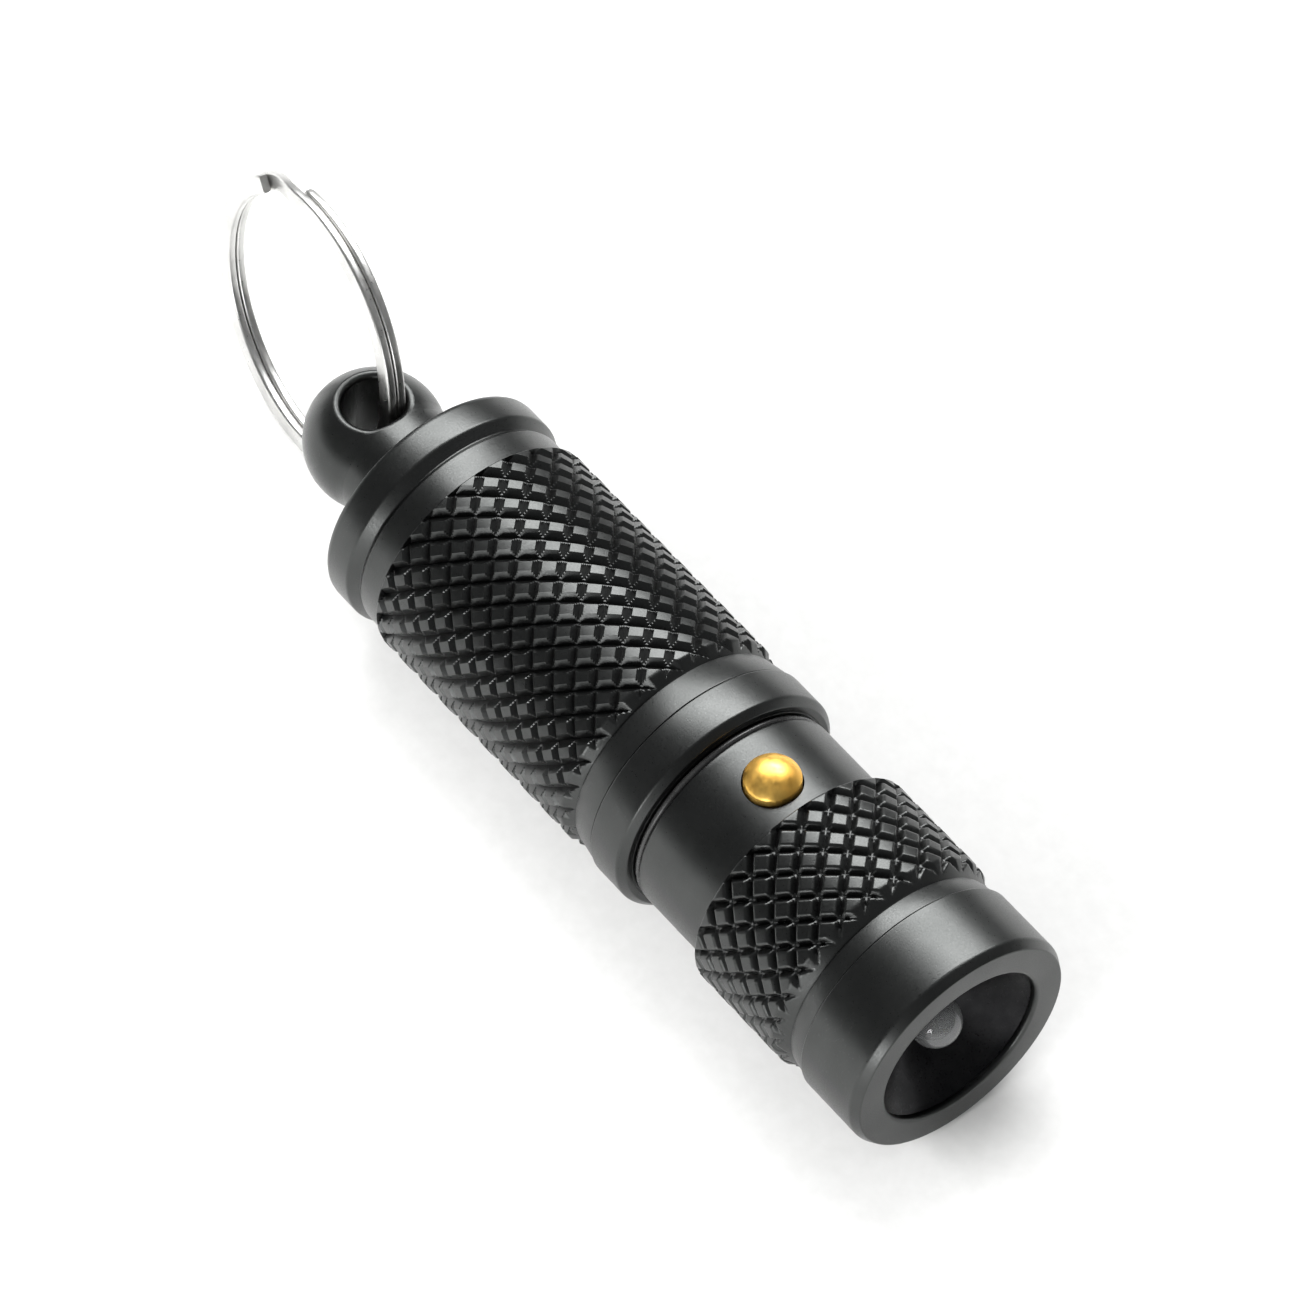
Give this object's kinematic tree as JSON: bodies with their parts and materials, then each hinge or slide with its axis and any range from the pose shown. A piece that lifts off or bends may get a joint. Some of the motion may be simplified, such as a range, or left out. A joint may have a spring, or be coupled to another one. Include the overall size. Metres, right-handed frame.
{
  "type": "keychain flashlight",
  "caption": "Turned aluminium keychain flashlight with a push button on its head, a screw-off battery tube and a ball lug carrying a split ring.",
  "frame": {"origin": "centre of the bezel's front face, on the beam axis", "axes": "+X along the beam, out of the head; +Z through the push button and the lug's upper hole mouth; the light lies on its side"},
  "size_m": [0.069, 0.015, 0.0183],
  "materials": {
    "black_anodised": "satin black anodised, turned",
    "ring_steel": "polished nickel-plated steel",
    "gold_brass": "polished gold",
    "black_rubber": "smooth black rubber",
    "matt_black_cone": "matt black",
    "clear_epoxy": "clear moulded epoxy",
    "tinned_copper": "bright tinned",
    "die_ceramic": "phosphor-coated die",
    "black_plastic": "matt moulded",
    "white_plastic": "matt moulded",
    "board_green": "solder mask",
    "resistor_body": "glazed",
    "contact_brass": "bright brass",
    "spring_steel": "bright wire",
    "clear_film": "thin clear polyester film",
    "cell_steel": "nickel-plated steel",
    "cell_nylon": "natural nylon",
    "cell_mix": "pressed powder"
  },
  "bodies": {
    "barrel": {"battery_tube": "black_anodised", "grip_collar": "black_anodised", "tail_ball": "black_anodised", "tail_contact_plate": "contact_brass", "tail_spring": "spring_steel", "insulator_sleeve": "clear_film", "cell_1_can": "cell_steel", "cell_1_cap": "cell_steel", "cell_1_gasket": "cell_nylon", "cell_1_core": "cell_mix", "cell_2_can": "cell_steel", "cell_2_cap": "cell_steel", "cell_2_gasket": "cell_nylon", "cell_2_core": "cell_mix", "cell_3_can": "cell_steel", "cell_3_cap": "cell_steel", "cell_3_gasket": "cell_nylon", "cell_3_core": "cell_mix", "cell_4_can": "cell_steel", "cell_4_cap": "cell_steel", "cell_4_gasket": "cell_nylon", "cell_4_core": "cell_mix"},
    "seal": {"head_seal": "black_rubber"},
    "head": {"head_shell": "black_anodised", "bezel_ring": "black_anodised", "reflector": "matt_black_cone", "led_lens": "clear_epoxy", "led_frame": "tinned_copper", "led_die": "die_ceramic", "led_leads": "tinned_copper", "led_holder": "black_plastic", "module_carrier": "white_plastic", "switch_board": "board_green", "switch_base": "black_plastic", "switch_terminals": "tinned_copper", "switch_cover": "ring_steel", "resistor": "resistor_body", "contact_plate": "board_green", "contact_strip": "contact_brass", "contact_spring": "contact_brass", "module_retainer": "contact_brass", "button_spring": "spring_steel"},
    "button": {"button": "gold_brass", "button_gasket": "black_rubber", "switch_actuator": "black_plastic"},
    "ring": {"split_ring": "ring_steel"}
  },
  "joints": [
    {"name": "head_advance", "type": "slide", "parent": "barrel", "child": "seal", "axis": [1, 0, 0], "range_m": [0, 0.00337]},
    {"name": "head_twist", "type": "hinge", "parent": "seal", "child": "head", "pos_m": [-0.0198, 0, 0], "axis": [1, 0, 0], "range_deg": [0, 1620]},
    {"name": "button_press", "type": "slide", "parent": "head", "child": "button", "axis": [0, 0, -1], "range_m": [0, 0.0004], "stiffness_N_per_m": 800, "springref_m": -0.0006, "deforming": ["button_spring"]},
    {"name": "ring_swing", "type": "hinge", "parent": "barrel", "child": "ring", "pos_m": [-0.0521, 0, 0], "axis": [0, 0, 1], "range_deg": [-95, 115]}
  ],
  "couplings": [
    {"joint": "head_twist", "follows": "head_advance", "rad_per_m": 8377.6}
  ]
}
